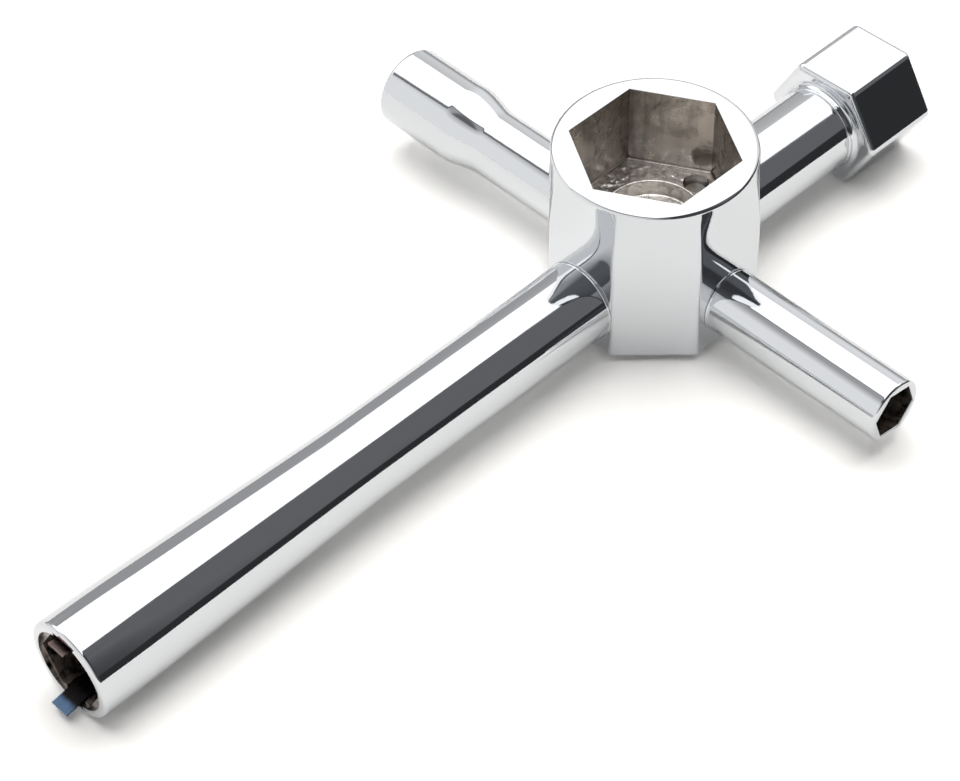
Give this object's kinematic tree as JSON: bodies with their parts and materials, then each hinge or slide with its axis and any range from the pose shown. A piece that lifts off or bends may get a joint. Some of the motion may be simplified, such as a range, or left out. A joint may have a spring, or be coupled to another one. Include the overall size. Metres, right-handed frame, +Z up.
{
  "type": "glow plug wrench",
  "caption": "Chrome cross wrench: a faceted hub with a hexagon wheel nut socket, a long arm with a spring clip glow plug socket, shorter nut socket arms and a hexagon head.",
  "frame": {"origin": "centre of the hub's underside, on the hub's axis", "axes": "+Z up along the hub's axis, out of its socket; -Y along the plug arm, +Y along the head arm, +X along the short arm"},
  "size_m": [0.0764, 0.1275, 0.0229],
  "materials": {
    "chrome": "bright chrome plate, duller nickel inside the sockets",
    "blued_spring": "blued spring steel",
    "pin_steel": "plain ground steel"
  },
  "bodies": {
    "wrench": {"hub": "chrome", "plug_arm": "chrome", "short_arm": "chrome", "swaged_arm": "chrome", "head_arm": "chrome", "hex_head": "chrome", "clip_bend": "blued_spring", "lock_pin": "pin_steel"},
    "clip_upper": {"clip_leg_upper": "blued_spring"},
    "clip_lower": {"clip_leg_lower": "blued_spring"}
  },
  "joints": [
    {"name": "clip_upper_flex", "type": "hinge", "parent": "wrench", "child": "clip_upper", "pos_m": [0, -0.0633, 0.00937], "axis": [-1, 0, 0], "range_deg": [0, 0.84], "stiffness_Nm_per_rad": 0.15},
    {"name": "clip_lower_flex", "type": "hinge", "parent": "wrench", "child": "clip_lower", "pos_m": [0, -0.0633, 0.00183], "axis": [1, 0, 0], "range_deg": [0, 0.84], "stiffness_Nm_per_rad": 0.15}
  ]
}
